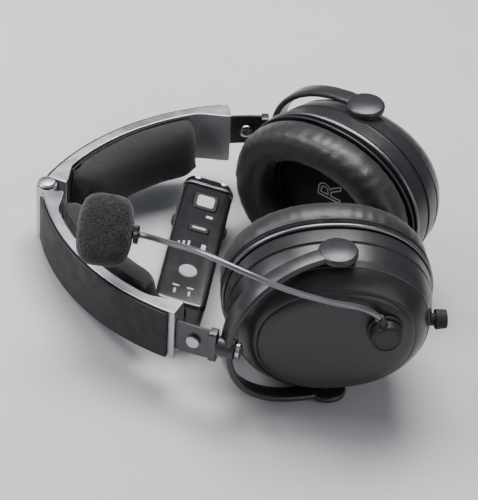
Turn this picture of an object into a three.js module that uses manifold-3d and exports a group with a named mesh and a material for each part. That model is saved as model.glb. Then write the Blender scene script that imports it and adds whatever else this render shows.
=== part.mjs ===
import * as THREE from 'three';
import { mergeVertices } from 'three/addons/utils/BufferGeometryUtils.js';
import Module from 'manifold-3d';

const wasm = await Module();
wasm.setup();

// ---- Driving dimensions (mm, degrees). The headset lies on its front, headband towards -X. ----

const DEG = Math.PI / 180;
const GAP = 0.3;

// Headband: two mirrored arcs meeting at a vertical folding hinge.
const ARC_RADIUS = 115;
const ARC_START_ANGLE = 74.55;
const ARC_LENGTH = 57;
const BAND_WIDTH = 28;
const BAND_HALF_THICKNESS = 2.5;
const GUSSET = 5;
const KNUCKLE_RADIUS = 5;
const PIN_RADIUS = 2.1;
const PAD_WIDTH = 29;
const PAD_THICKNESS = 15;
const PAD_START = 6.5;
const PAD_END = 46.5;
const CARRIER_THICKNESS = 1.6;
const TRIM_THICKNESS = 1.4;

// Sliders: thin curved bars running in a slot in each band half.
const SLIDER_HALF_THICKNESS = 0.65;
const SLIDER_HALF_WIDTH = 8.2;
const SLIDER_TAIL = 38;
const SLIDER_END = 66;
const SCREW_ANGLE = 61.5;

// Yokes and cups.
const PIVOT_X = 145.3;
const PIVOT_Y = 56.6;
const PIVOT_OUT = 20;
const PADDLE_Z = 41.4;
const PADDLE_RADIUS = 9.2;
const YOKE_BAR = 1.6;
const YOKE_WIDTH = 9;
const YOKE_APEX = 6.5;
const TOE_RIGHT = -29.6;
const TOE_LEFT = 13.4;
const CUP_HALF_LENGTH = 49.8;
const CUP_HALF_WIDTH = 41.7;
const OVAL_POWER = 2.15;
const OVAL_SIDES = 22;
const DOME_WALL = 2.4;
const SEAL_THICKNESS = 19.5;
const SEAL_WIDTH = 19.5;

// Microphone boom, stored upwards beside the headband.
const BOOM_RADIUS = 1.4;
const KNOB = { along: 22, up: 8, out: 40.6 };
const MIC = new THREE.Vector3(39, -59, 39);

// Control module, lying flat inside the headband loop.
const MODULE = { x: 73.2, y: 0.6, width: 25, height: 24, low: -50, high: 39.5, wall: 1.8 };
const KEY_FOOT = 20.8;
const SPLIT = 11;

// Resting attitude: the hinge end and both yokes touch the floor.
const REST_TILT = 11.2;

// ---- Materials ----

function finish(color, roughness, metalness) {
  return { color, roughness, metalness };
}

const SILVER = finish(0xb4b5ba, 0.35, 0.9);
const GUNMETAL = finish(0x77787d, 0.4, 0.8);
const STEEL = finish(0x9a9ca0, 0.3, 1);
const BLACK_PLASTIC = finish(0x1c1c1e, 0.55, 0);
const SHELL_GREY = finish(0x3c3d42, 0.45, 0.2);
const LEATHER = finish(0x17171a, 0.5, 0);
const PAD_CLOTH = finish(0x222226, 0.9, 0);
const FOAM = finish(0x2c2c2f, 1, 0);
const BOARD_GREEN = finish(0x1d5a36, 0.6, 0.1);
const BUTTON_WHITE = finish(0xc9cbcc, 0.5, 0);

function part(name, geometry, look) {
  const material = new THREE.MeshStandardMaterial(look);
  const mesh = new THREE.Mesh(facingOut(geometry), material);
  mesh.name = name;
  return mesh;
}

function group(name, ...children) {
  const result = new THREE.Group();
  result.name = name;
  result.add(...children);
  return result;
}

// ---- Solid helpers ----

function bare(geometry) {
  const copy = geometry.clone();
  copy.deleteAttribute('normal');
  copy.deleteAttribute('uv');
  return mergeVertices(copy, 1e-4);
}

function signedVolume(geometry) {
  const p = geometry.attributes.position;
  const index = geometry.index.array;
  const a = new THREE.Vector3();
  const b = new THREE.Vector3();
  const c = new THREE.Vector3();
  let sum = 0;
  for (let i = 0; i < index.length; i += 3) {
    a.fromBufferAttribute(p, index[i]);
    b.fromBufferAttribute(p, index[i + 1]);
    c.fromBufferAttribute(p, index[i + 2]);
    sum += a.dot(b.cross(c));
  }
  return sum;
}

// Turns every triangle outwards, which also repairs a mirrored shape.
function facingOut(geometry) {
  const solid = bare(geometry);
  if (signedVolume(solid) < 0) {
    const index = solid.index.array;
    for (let i = 0; i < index.length; i += 3) {
      [index[i], index[i + 1]] = [index[i + 1], index[i]];
    }
  }
  return solid;
}

function toManifold(geometry) {
  const solid = facingOut(geometry);
  const vertProperties = new Float32Array(solid.attributes.position.array);
  const triVerts = new Uint32Array(solid.index.array);
  return new wasm.Manifold(new wasm.Mesh({ numProp: 3, vertProperties, triVerts }));
}

function fromManifold(manifold) {
  const mesh = manifold.getMesh();
  const geometry = new THREE.BufferGeometry();
  geometry.setAttribute('position', new THREE.BufferAttribute(mesh.vertProperties, 3));
  geometry.setIndex(new THREE.BufferAttribute(mesh.triVerts, 1));
  return geometry;
}

function join(first, ...others) {
  let result = toManifold(first);
  for (const other of others) {
    result = result.add(toManifold(other));
  }
  return fromManifold(result);
}

function cut(first, ...others) {
  let result = toManifold(first);
  for (const other of others) {
    result = result.subtract(toManifold(other));
  }
  return fromManifold(result);
}

// A solid skinned over matching rings of points; open stacks get a flat fan at each end.
function skin(rings, closed) {
  const n = rings[0].length;
  const points = rings.flat();
  const index = [];
  const spans = closed ? rings.length : rings.length - 1;
  for (let i = 0; i < spans; i++) {
    const a = i * n;
    const b = ((i + 1) % rings.length) * n;
    for (let j = 0; j < n; j++) {
      const k = (j + 1) % n;
      index.push(a + j, b + j, b + k, a + j, b + k, a + k);
    }
  }
  if (!closed) {
    capEnd(points, index, 0, n, true);
    capEnd(points, index, (rings.length - 1) * n, n, false);
  }
  const geometry = new THREE.BufferGeometry().setFromPoints(points);
  geometry.setIndex(index);
  return facingOut(geometry);
}

function capEnd(points, index, start, n, first) {
  const centre = new THREE.Vector3();
  for (let j = 0; j < n; j++) {
    centre.addScaledVector(points[start + j], 1 / n);
  }
  const middle = points.push(centre) - 1;
  for (let j = 0; j < n; j++) {
    const k = (j + 1) % n;
    if (first) {
      index.push(middle, start + j, start + k);
    } else {
      index.push(middle, start + k, start + j);
    }
  }
}

// An upright prism from a closed outline in X and Y.
function prism(outline, low, high) {
  const shape = new THREE.Shape(outline.map(([x, y]) => new THREE.Vector2(x, y)));
  const geometry = new THREE.ExtrudeGeometry(shape, { depth: high - low, bevelEnabled: false });
  return geometry.translate(0, 0, low);
}

function box(x0, x1, y0, y1, z0, z1) {
  const geometry = new THREE.BoxGeometry(x1 - x0, y1 - y0, z1 - z0);
  return geometry.translate((x0 + x1) / 2, (y0 + y1) / 2, (z0 + z1) / 2);
}

function roundedOutline(width, length, radius) {
  const points = [];
  const corners = [[1, 1, 0], [-1, 1, 90], [-1, -1, 180], [1, -1, 270]];
  for (const [sx, sy, turn] of corners) {
    for (let i = 0; i <= 3; i++) {
      const angle = (turn + 30 * i) * DEG;
      const x = sx * (width / 2 - radius) + radius * Math.cos(angle);
      const y = sy * (length / 2 - radius) + radius * Math.sin(angle);
      points.push([x, y]);
    }
  }
  return points;
}

// A turned solid about Z from [radius, height] pairs.
function turned(profile, sides = 14) {
  const points = profile.map(([r, z]) => new THREE.Vector2(r, z));
  return new THREE.LatheGeometry(points, sides).rotateX(Math.PI / 2);
}

function disc(radius, low, high, sides = 14) {
  return turned([[0, low], [radius, low], [radius, high], [0, high]], sides);
}

function washer(inner, outer, low, high, sides = 14) {
  return turned([[inner, low], [outer, low], [outer, high], [inner, high], [inner, low]], sides);
}

// ---- Headband ----

// A point on a band half: t degrees from the hinge, offset outwards by `out`.
function onArc(side, t, out) {
  const angle = (ARC_START_ANGLE - t) * DEG;
  const start = ARC_START_ANGLE * DEG;
  const r = ARC_RADIUS + out;
  const x = ARC_RADIUS * Math.sin(start) - r * Math.sin(angle);
  const y = r * Math.cos(angle) - ARC_RADIUS * Math.cos(start);
  return [x, side * y];
}

function arcPlate(side, inner, outer, from, to, low, high, steps) {
  const outline = [];
  for (let i = 0; i <= steps; i++) {
    const t = from + ((to - from) * i) / steps;
    outline.push(onArc(side, t, outer));
  }
  for (let i = steps; i >= 0; i--) {
    const t = from + ((to - from) * i) / steps;
    outline.push(onArc(side, t, typeof inner === 'function' ? inner(t) : inner));
  }
  return prism(outline, low, high);
}

// Depth of the inner edge of the band: it widens into a gusset at each end.
function bandInner(t) {
  const rise = Math.max(0, 1 - (t - 2.8) / 6, 1 - (ARC_LENGTH - t) / 9);
  return -BAND_HALF_THICKNESS - GUSSET * Math.min(1, rise);
}

// A rod or ring placed square to the band face at angle t.
function acrossBand(geometry, side, t) {
  const [x, y] = onArc(side, t, 0);
  const angle = (ARC_START_ANGLE - t) * DEG;
  const outward = new THREE.Vector3(-Math.sin(angle), side * Math.cos(angle), 0);
  const turn = new THREE.Quaternion().setFromUnitVectors(new THREE.Vector3(0, 0, 1), outward);
  return geometry.applyQuaternion(turn).translate(x, y, 0);
}

function knuckle(side, low, high) {
  const web = arcPlate(side, -BAND_HALF_THICKNESS, BAND_HALF_THICKNESS, 0.2, 4, low, high, 2);
  return join(disc(KNUCKLE_RADIUS, low, high), web);
}

function bandFrame(side) {
  const half = BAND_WIDTH / 2;
  const strip = arcPlate(side, bandInner, BAND_HALF_THICKNESS, 2.8, ARC_LENGTH, -half, half, 13);
  const middle = half / 3;
  const lugs = side > 0
    ? [knuckle(side, -middle + GAP / 2, middle - GAP / 2)]
    : [knuckle(side, middle + GAP / 2, half), knuckle(side, -half, -middle - GAP / 2)];
  const room = SLIDER_HALF_THICKNESS + GAP;
  const high = SLIDER_HALF_WIDTH + GAP;
  const slot = arcPlate(side, -room, room, 29, ARC_LENGTH + 2, -high, high, 7);
  const bore = disc(PIN_RADIUS + GAP, -20, 20);
  return cut(join(strip, ...lugs), slot, bore);
}

// Rounded cushion section swept along the band arc.
function cushion(side, inner, outer, width, from, to, steps) {
  const rings = [];
  const middle = (inner + outer) / 2;
  for (let i = 0; i <= steps; i++) {
    const t = from + ((to - from) * i) / steps;
    const end = i === 0 || i === steps ? 0.8 : 1;
    const section = roundedOutline((outer - inner) * end, width * end, 5);
    const ring = section.map(([r, z]) => {
      const [x, y] = onArc(side, t, middle + r);
      return new THREE.Vector3(x, y, z);
    });
    rings.push(ring);
  }
  return skin(rings, false);
}

function stopScrew(side) {
  const face = SLIDER_HALF_THICKNESS + GAP;
  const profile = [[0, -face - 2], [3, -face - 2], [3.6, -face - 1], [3.6, -face], [1.6, -face]];
  profile.push([1.6, face], [3.2, face], [3.2, face + 1.6], [0, face + 1.6]);
  return acrossBand(turned(profile), side, SCREW_ANGLE);
}

function bandHalf(side, label) {
  const under = -BAND_HALF_THICKNESS - GAP;
  const carrierBack = under - CARRIER_THICKNESS;
  const over = BAND_HALF_THICKNESS + GAP;
  const padBack = carrierBack - GAP;
  const carrier = arcPlate(side, carrierBack, under, PAD_START + 6, PAD_END - 3, -12, 12, 8);
  const pad = cushion(side, padBack - PAD_THICKNESS, padBack, PAD_WIDTH, PAD_START, PAD_END, 9);
  const trim = arcPlate(side, over, over + TRIM_THICKNESS, 6, 50, -11.5, 11.5, 10);
  return [
    part(`headband_frame_${label}`, bandFrame(side), SILVER),
    part(`pad_carrier_${label}`, carrier, BLACK_PLASTIC),
    part(`head_pad_${label}`, pad, PAD_CLOTH),
    part(`headband_trim_${label}`, trim, BLACK_PLASTIC),
  ];
}

function hingePin() {
  const top = BAND_WIDTH / 2 + GAP;
  const profile = [[0, -top - 2], [PIN_RADIUS, -top - 2], [PIN_RADIUS, top], [4.2, top]];
  profile.push([4.2, top + 1], [3, top + 1.8], [0, top + 2]);
  return turned(profile);
}

function hingeNut() {
  const low = -BAND_WIDTH / 2 - GAP;
  return washer(PIN_RADIUS + GAP, 4.2, low - 2, low, 12);
}

// ---- Sliders and yokes ----

function sliderFrame(side) {
  const [x, y] = onArc(side, SLIDER_END, 0);
  return { x, y, angle: side * (ARC_START_ANGLE - SLIDER_END) * DEG };
}

// Lays a solid built along Z so that it runs out of the slider's free end.
function alongSlider(geometry, side) {
  const { x, y, angle } = sliderFrame(side);
  return geometry.rotateY(Math.PI / 2).rotateZ(angle).translate(x, y, 0);
}

function slider(side) {
  const thick = SLIDER_HALF_THICKNESS;
  const wide = SLIDER_HALF_WIDTH;
  const bar = arcPlate(side, -thick, thick, SLIDER_TAIL, SLIDER_END, -wide, wide, 10);
  const hole = acrossBand(disc(1.9, -3, 3, 12), side, SCREW_ANGLE);
  const block = alongSlider(box(-wide, wide, -3, 3, -1.5, 2.2), side);
  const stem = alongSlider(disc(2, 1, 14, 12), side);
  return join(cut(bar, hole), block, stem);
}

function swivelNut(side) {
  return alongSlider(washer(2.3, 3.6, 11.3, 13.1, 12), side);
}

// C-shaped bar in its own plane: X runs from the apex to the pivots.
function yokeArc(reach, rise, power, steps) {
  const points = [];
  for (let i = 0; i <= steps; i++) {
    const angle = (-90 + (180 * i) / steps) * DEG;
    const c = Math.cos(angle);
    const s = Math.sin(angle);
    const x = -reach * Math.pow(Math.abs(c), 2 / power);
    points.push([x, rise * Math.sign(s) * Math.pow(Math.abs(s), 2 / power)]);
  }
  return points;
}

function yoke(side) {
  const { x, y, angle } = sliderFrame(side);
  const apexX = x + YOKE_APEX * Math.cos(angle);
  const apexY = y + YOKE_APEX * Math.sin(angle);
  const dx = PIVOT_X - apexX;
  const dy = side * PIVOT_Y - apexY;
  const reach = Math.hypot(dx, dy);
  const outer = yokeArc(reach + YOKE_BAR, PADDLE_Z + YOKE_BAR, 2.2, 14);
  const inner = yokeArc(reach - YOKE_BAR, PADDLE_Z - YOKE_BAR, 2.2, 14);
  const outline = [...outer, ...inner.reverse()];
  const bar = prism(outline, -YOKE_WIDTH / 2, YOKE_WIDTH / 2).rotateX(Math.PI / 2);
  const top = disc(PADDLE_RADIUS, PADDLE_Z - YOKE_BAR, PADDLE_Z + YOKE_BAR);
  const bottom = disc(PADDLE_RADIUS, -PADDLE_Z - YOKE_BAR, -PADDLE_Z + YOKE_BAR);
  const skinOfPaddle = PADDLE_Z + YOKE_BAR - 1;
  const fork = cut(join(bar, top, bottom), disc(2.2, -skinOfPaddle, skinOfPaddle, 12));
  fork.rotateZ(Math.atan2(dy, dx)).translate(PIVOT_X, side * PIVOT_Y, 0);
  const boss = alongSlider(disc(4.8, 2.5, 10.6, 16), side);
  const bore = alongSlider(disc(2.3, 0, 20, 12), side);
  return cut(join(fork, boss), bore);
}

// ---- Ear cups: X along the cup, Y outwards times side, origin at the pivots ----

function ovalRing(inset, out, side) {
  const points = [];
  for (let i = 0; i < OVAL_SIDES; i++) {
    const angle = (2 * Math.PI * i) / OVAL_SIDES;
    const c = Math.cos(angle);
    const s = Math.sin(angle);
    const x = (CUP_HALF_LENGTH - inset) * Math.sign(c) * Math.pow(Math.abs(c), 2 / OVAL_POWER);
    const z = (CUP_HALF_WIDTH - inset) * Math.sign(s) * Math.pow(Math.abs(s), 2 / OVAL_POWER);
    points.push(new THREE.Vector3(x, side * (out - PIVOT_OUT), z));
  }
  return points;
}

function ovalSolid(profile, side, closed) {
  const rings = profile.map(([inset, out]) => ovalRing(inset, out, side));
  return skin(rings, closed);
}

// Lays a turned solid with its axis pointing out of the cup.
function outOfCup(geometry, side, along, up) {
  return geometry.rotateX((-side * Math.PI) / 2).translate(along, -side * PIVOT_OUT, up);
}

const DOME_PROFILE = [[1.4, 1.8], [2.6, 14], [4.4, 21.5], [8, 28.5], [12.5, 32.8], [17, 34.6], [20, 35]];

function dome(side) {
  const inside = [[DOME_WALL + 1.6, 1.8], [DOME_WALL + 3.2, 16], [DOME_WALL + 9, 26.8], [22, 32.8]];
  const shell = ovalSolid([...inside.reverse(), ...DOME_PROFILE], side, false);
  const tools = [disc(2.2, -60, 60, 12)];
  if (side < 0) {
    tools.push(outOfCup(disc(4.4, 25, 45, 16), side, KNOB.along, KNOB.up));
    tools.push(disc(3.3, 30, 60, 12).rotateY(Math.PI / 2));
  }
  return cut(shell, ...tools);
}

function driver(side) {
  const profile = [[0, 13], [11, 13], [11, 4], [19, 0.5], [19, -1.6], [0, -1.6]];
  return outOfCup(turned(profile), side, 0, 0);
}

function baffle(side) {
  const plate = ovalSolid([[4, -1.6], [4, 0]], side, false);
  const holes = [outOfCup(disc(19.3, -5, 5), side, 0, 0)];
  for (const along of [-32, 32]) {
    holes.push(outOfCup(disc(3, -5, 5, 10), side, along, 0));
  }
  return cut(plate, ...holes);
}

function earSeal(side) {
  const deep = -2.2 - SEAL_THICKNESS;
  const wide = SEAL_WIDTH;
  const profile = [[2.5, -2.2], [0.4, -6], [0, -12], [1.6, deep + 4], [5.5, deep], [wide - 5, deep]];
  profile.push([wide - 1, deep + 4], [wide, -12], [wide, -2.2]);
  return ovalSolid(profile, side, true);
}

function pivotPin(end) {
  const tip = PADDLE_Z + YOKE_BAR - 1 - GAP;
  const profile = [[0, 30], [4.2, 30], [4.2, 31.3], [1.9, 31.3], [1.9, tip], [0, tip]];
  return turned(profile.map(([r, z]) => [r, end * z]), 14);
}

function cup(side, label) {
  const ring = [[0.6, -1.9], [0, -0.7], [0, 0.7], [0.8, 1.5], [3.6, 1.5], [3.6, -1.9]];
  const cloth = [[SEAL_WIDTH + 0.6, -3.4], [SEAL_WIDTH + 0.6, -2]];
  const liner = [[14, 15.5], [14, 22], [18, 28]];
  const toe = side > 0 ? TOE_RIGHT : TOE_LEFT;
  const result = group(
    `cup_${label}`,
    part(`dome_${label}`, dome(side), SHELL_GREY),
    part(`accent_ring_${label}`, ovalSolid(ring, side, true), SILVER),
    part(`baffle_plate_${label}`, baffle(side), BLACK_PLASTIC),
    part(`driver_${label}`, driver(side), STEEL),
    part(`ear_seal_${label}`, earSeal(side), LEATHER),
    part(`speaker_cloth_${label}`, ovalSolid(cloth, side, false), PAD_CLOTH),
    part(`dome_liner_${label}`, ovalSolid(liner, side, false), FOAM),
    part(`pivot_pin_back_${label}`, pivotPin(1), STEEL),
    part(`pivot_pin_front_${label}`, pivotPin(-1), STEEL),
  );
  result.rotation.z = toe * DEG;
  result.position.set(PIVOT_X, side * PIVOT_Y, 0);
  return result;
}

function leftCupFittings() {
  const base = outOfCup(join(disc(8.5, 35.3, 37.3), disc(4, 29, 36, 16)), -1, KNOB.along, KNOB.up);
  const gland = turned([[2.2, 42], [3, 42], [3, 47.8], [4.8, 47.8], [4.4, 53], [2.2, 53], [2.2, 42]], 14);
  return [
    part('boom_base', base, BLACK_PLASTIC),
    part('cable_inlet_left_cup', gland.rotateY(Math.PI / 2), BLACK_PLASTIC),
  ];
}

// ---- Microphone boom ----

function knobCentre() {
  const spot = new THREE.Vector3(KNOB.along, PIVOT_OUT - KNOB.out, KNOB.up);
  spot.applyAxisAngle(new THREE.Vector3(0, 0, 1), TOE_LEFT * DEG);
  return spot.add(new THREE.Vector3(PIVOT_X, -PIVOT_Y, 0));
}

function boomPath() {
  const start = knobCentre();
  const bends = [
    start.clone().add(new THREE.Vector3(-2.5, -0.6, 9)),
    new THREE.Vector3(161, -78.5, 28.5),
    new THREE.Vector3(146, -86, 36.5),
    new THREE.Vector3(127, -91.5, 45),
    new THREE.Vector3(107, -92.5, 53),
    new THREE.Vector3(87, -84.5, 54),
    new THREE.Vector3(69, -70.5, 46),
    MIC.clone().add(new THREE.Vector3(20, -2, 1)),
    MIC.clone().add(new THREE.Vector3(13.9, 0, 0)),
  ];
  return new THREE.CatmullRomCurve3([start, ...bends], false, 'centripetal');
}

function circleShape(radius, sides) {
  const points = [];
  for (let i = 0; i < sides; i++) {
    const angle = (2 * Math.PI * i) / sides;
    points.push(new THREE.Vector2(radius * Math.cos(angle), radius * Math.sin(angle)));
  }
  return new THREE.Shape(points);
}

function boomWire() {
  const options = { steps: 24, extrudePath: boomPath(), bevelEnabled: false };
  return new THREE.ExtrudeGeometry(circleShape(BOOM_RADIUS, 8), options);
}

function knob() {
  const toe = TOE_LEFT * DEG;
  const body = outOfCup(disc(7.4, 37.6, 43.6), -1, KNOB.along, KNOB.up);
  body.rotateZ(toe).translate(PIVOT_X, -PIVOT_Y, 0);
  const options = { steps: 24, extrudePath: boomPath(), bevelEnabled: false };
  const bore = new THREE.ExtrudeGeometry(circleShape(BOOM_RADIUS + GAP, 8), options);
  const relief = new THREE.SphereGeometry(BOOM_RADIUS + 0.7, 10, 8).translate(...knobCentre().toArray());
  return cut(body, bore, relief);
}

// The windscreen stands on edge: long axis leans between Y and Z, boom side faces +X.
function micFrame(geometry) {
  return geometry.rotateX(-39 * DEG).translate(MIC.x, MIC.y, MIC.z);
}

function windscreen() {
  const rings = [];
  const stations = [[-16.5, 0.35], [-14, 0.72], [-9, 0.94], [0, 1], [9, 0.94], [14, 0.72], [16.5, 0.35]];
  for (const [height, size] of stations) {
    const section = roundedOutline(26 * size, 19 * size, 8 * size);
    rings.push(section.map(([x, y]) => new THREE.Vector3(x, y, height)));
  }
  const pocket = box(-7.3, 7.3, -4.3, 4.3, -8.3, 8.3);
  const mouth = disc(3.2, 0, 20, 12).rotateY(Math.PI / 2);
  return micFrame(cut(skin(rings, false), pocket, mouth));
}

function micBody() {
  return micFrame(prism(roundedOutline(14, 8, 2.5), -8, 8));
}

function micBracket() {
  const profile = [[0, 7.4], [2.2, 7.4], [2.2, 13.2], [0, 13.2]];
  return micFrame(turned(profile, 12).rotateY(Math.PI / 2));
}

function windscreenRing() {
  return micFrame(washer(2.6, 4.6, 13.4, 15.4, 12).rotateY(Math.PI / 2));
}

// ---- Control module: Y along the case, base at z = 0 ----

function caseHalf(low, high, pocketLow, pocketHigh) {
  const { width, wall } = MODULE;
  const length = MODULE.high - MODULE.low;
  const middle = (MODULE.high + MODULE.low) / 2;
  const body = prism(roundedOutline(width, length, 4), low, high).translate(0, middle, 0);
  const room = roundedOutline(width - 2 * wall, length - 2 * wall, 2.5);
  return cut(body, prism(room, pocketLow, pocketHigh).translate(0, middle, 0));
}

function caseFront() {
  const shell = caseHalf(SPLIT + GAP / 2, MODULE.height, 0, MODULE.height - MODULE.wall);
  const holes = [
    prism(roundedOutline(12.6, 12.6, 2), 20, 30).translate(0, 27, 0),
    prism(roundedOutline(10.6, 5.6, 1.5), 20, 30).translate(0, 6, 0),
    disc(4.8, 20, 30).translate(0, -26, 0),
    box(-20, 20, 9.3, 22.7, 15.3, 19.3),
    disc(3.3, 30, 60, 12).rotateX(Math.PI / 2).translate(0, 0, 16),
  ];
  return cut(shell, ...holes);
}

function caseBack() {
  const shell = caseHalf(0, SPLIT - GAP / 2, MODULE.wall, SPLIT + 5);
  return cut(shell, box(-9, 9, -60, -1, -1, MODULE.wall + 0.1));
}

function battery(x) {
  const profile = [[0, 0], [5.15, 0], [5.15, 43], [1.9, 43], [1.9, 44.4], [0, 44.4]];
  return turned(profile, 14).rotateX(Math.PI / 2).translate(x, -3, 7.3);
}

function volumeWheel() {
  return disc(6.4, 15.7, 18.9, 18);
}

function endPiece(width, height, from, to, bore) {
  const body = prism(roundedOutline(width, height, 4), from, to);
  const solid = cut(body, disc(bore, from - 1, to + 1, 14));
  return solid.rotateX(-Math.PI / 2).translate(0, 0, height / 2);
}

function key(outline, along) {
  return prism(outline, KEY_FOOT, MODULE.height + 0.8).translate(0, along, 0);
}

function inletSleeve() {
  return turned([[2.2, 0], [3, 0], [3, 3.4], [4.6, 3.4], [4.2, 8], [2.2, 8], [2.2, 0]], 14);
}

function controlModule() {
  const { width, height, high, low } = MODULE;
  const nearInlet = inletSleeve().rotateX(Math.PI / 2).translate(0, low + 3.1, 16);
  const farInlet = inletSleeve().rotateX(-Math.PI / 2).translate(0, high + 5.4, height / 2);
  const result = group(
    'control_module',
    part('case_front', caseFront(), BLACK_PLASTIC),
    part('case_back', caseBack(), BLACK_PLASTIC),
    part('battery_door', box(-8.7, 8.7, low + 0.3, -1.3, 0.3, 1.6), BLACK_PLASTIC),
    part('battery_1', battery(-5.35), STEEL),
    part('battery_2', battery(5.35), STEEL),
    part('circuit_board', box(-9.8, 9.8, low + 8, high - 4, 13.1, 14.6), BOARD_GREEN),
    part('volume_wheel_left', volumeWheel().translate(-7.5, 16, 0), SHELL_GREY),
    part('volume_wheel_right', volumeWheel().translate(7.5, 16, 0), SHELL_GREY),
    part('link_button', key(roundedOutline(12, 12, 1.8), 27), BUTTON_WHITE),
    part('mode_button', key(roundedOutline(10, 5, 1.3), 6), BUTTON_WHITE),
    part('power_button', disc(4.5, KEY_FOOT, height + 0.8).translate(0, -26, 0), BUTTON_WHITE),
    part('end_band', endPiece(width + 0.6, height, high + GAP, high + 2.6, 3.3), SILVER),
    part('end_cap', endPiece(width - 0.4, height, high + 2.9, high + 8.5, 3.3), BLACK_PLASTIC),
    part('cable_inlet_module_near', nearInlet, BLACK_PLASTIC),
    part('cable_inlet_module_far', farInlet, BLACK_PLASTIC),
  );
  result.position.set(MODULE.x, MODULE.y, 0);
  return result;
}

// ---- Assembly ----

function headsetAsWorn() {
  const leftCup = cup(-1, 'left');
  leftCup.add(...leftCupFittings());
  return group(
    'headset',
    ...bandHalf(1, 'right'),
    ...bandHalf(-1, 'left'),
    part('hinge_pin', hingePin(), STEEL),
    part('hinge_nut', hingeNut(), STEEL),
    part('slider_right', slider(1), STEEL),
    part('slider_left', slider(-1), STEEL),
    part('slider_screw_right', stopScrew(1), STEEL),
    part('slider_screw_left', stopScrew(-1), STEEL),
    part('swivel_nut_right', swivelNut(1), STEEL),
    part('swivel_nut_left', swivelNut(-1), STEEL),
    part('yoke_right', yoke(1), GUNMETAL),
    part('yoke_left', yoke(-1), GUNMETAL),
    cup(1, 'right'),
    leftCup,
    part('boom_knob', knob(), BLACK_PLASTIC),
    part('boom_wire', boomWire(), GUNMETAL),
    part('mic_bracket', micBracket(), BLACK_PLASTIC),
    part('mic_body', micBody(), BLACK_PLASTIC),
    part('mic_windscreen', windscreen(), FOAM),
    part('windscreen_ring', windscreenRing(), BLACK_PLASTIC),
  );
}

// Tips the headset onto its three resting points and centres everything on the floor.
function standOnFloor(headset, module) {
  headset.rotation.y = -REST_TILT * DEG;
  headset.updateMatrixWorld(true);
  headset.position.z = -new THREE.Box3().setFromObject(headset, true).min.z;
  const whole = group('aviation_headset', headset, module);
  whole.updateMatrixWorld(true);
  const middle = new THREE.Box3().setFromObject(whole, true).getCenter(new THREE.Vector3());
  whole.position.set(-middle.x, -middle.y, 0);
  return whole;
}

export default standOnFloor(headsetAsWorn(), controlModule());
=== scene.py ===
import math

import bmesh
import bpy
import numpy as np
from mathutils import Matrix, Vector, noise


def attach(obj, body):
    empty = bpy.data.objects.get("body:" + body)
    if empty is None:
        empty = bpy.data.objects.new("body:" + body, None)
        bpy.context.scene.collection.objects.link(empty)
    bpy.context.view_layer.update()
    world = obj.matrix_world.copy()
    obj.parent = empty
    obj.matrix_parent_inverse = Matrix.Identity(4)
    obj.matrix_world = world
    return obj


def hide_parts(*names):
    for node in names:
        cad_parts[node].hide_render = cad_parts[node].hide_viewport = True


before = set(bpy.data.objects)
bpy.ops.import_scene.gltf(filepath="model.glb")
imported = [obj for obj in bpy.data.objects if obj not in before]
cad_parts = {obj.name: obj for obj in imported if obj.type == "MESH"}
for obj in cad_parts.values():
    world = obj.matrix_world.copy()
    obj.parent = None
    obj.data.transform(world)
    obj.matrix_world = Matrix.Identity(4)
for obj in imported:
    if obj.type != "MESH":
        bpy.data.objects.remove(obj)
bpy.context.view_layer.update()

# ---- Shared dimensions: millimetres and degrees in the headset's own frame ----

MM = 0.001
REST_TILT = math.radians(11.2)
ORIGIN = Vector((-0.0934494, 0.0024144, 0.0168054))
ARC_RADIUS = 115
ARC_START = 74.55
ARC_LENGTH = 57
BAND_HALF = 14
BAND_THICK = 2.5
SCREW_ANGLE = 61.5
SLIDER_TAIL = 38
SLIDER_END = 66
PIVOT = (145.3, 56.6)
PIVOT_OUT = 20
PADDLE_Z = 41.4
PADDLE_RADIUS = 9.2
TOE = {1: -29.6, -1: 13.4}
CUP_HALF = (49.8, 41.7)
OVAL_POWER = 2.15
KNOB = (22, 8, 40.6)
MIC = Vector((39, -59, 39))
MODULE_AT = Vector((73.2 * MM + ORIGIN.x, 0.6 * MM + ORIGIN.y, 0))
MODULE_Y = (-50, 39.5)
MODULE_SIZE = (25, 24)
LINK_Y = 27
MODE_Y = 6
POWER_Y = -26
KEY_FOOT = 20.8
SIDES = ((1, "right"), (-1, "left"))

LYING = Matrix.Translation(ORIGIN) @ Matrix.Rotation(-REST_TILT, 4, "Y") @ Matrix.Scale(MM, 4)
ON_FLOOR = Matrix.Translation(MODULE_AT) @ Matrix.Scale(MM, 4)


def cup_place(side):
    turn = Matrix.Rotation(math.radians(TOE[side]), 4, "Z")
    return LYING @ Matrix.Translation((PIVOT[0], side * PIVOT[1], 0)) @ turn


# ---- Materials ----

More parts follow.
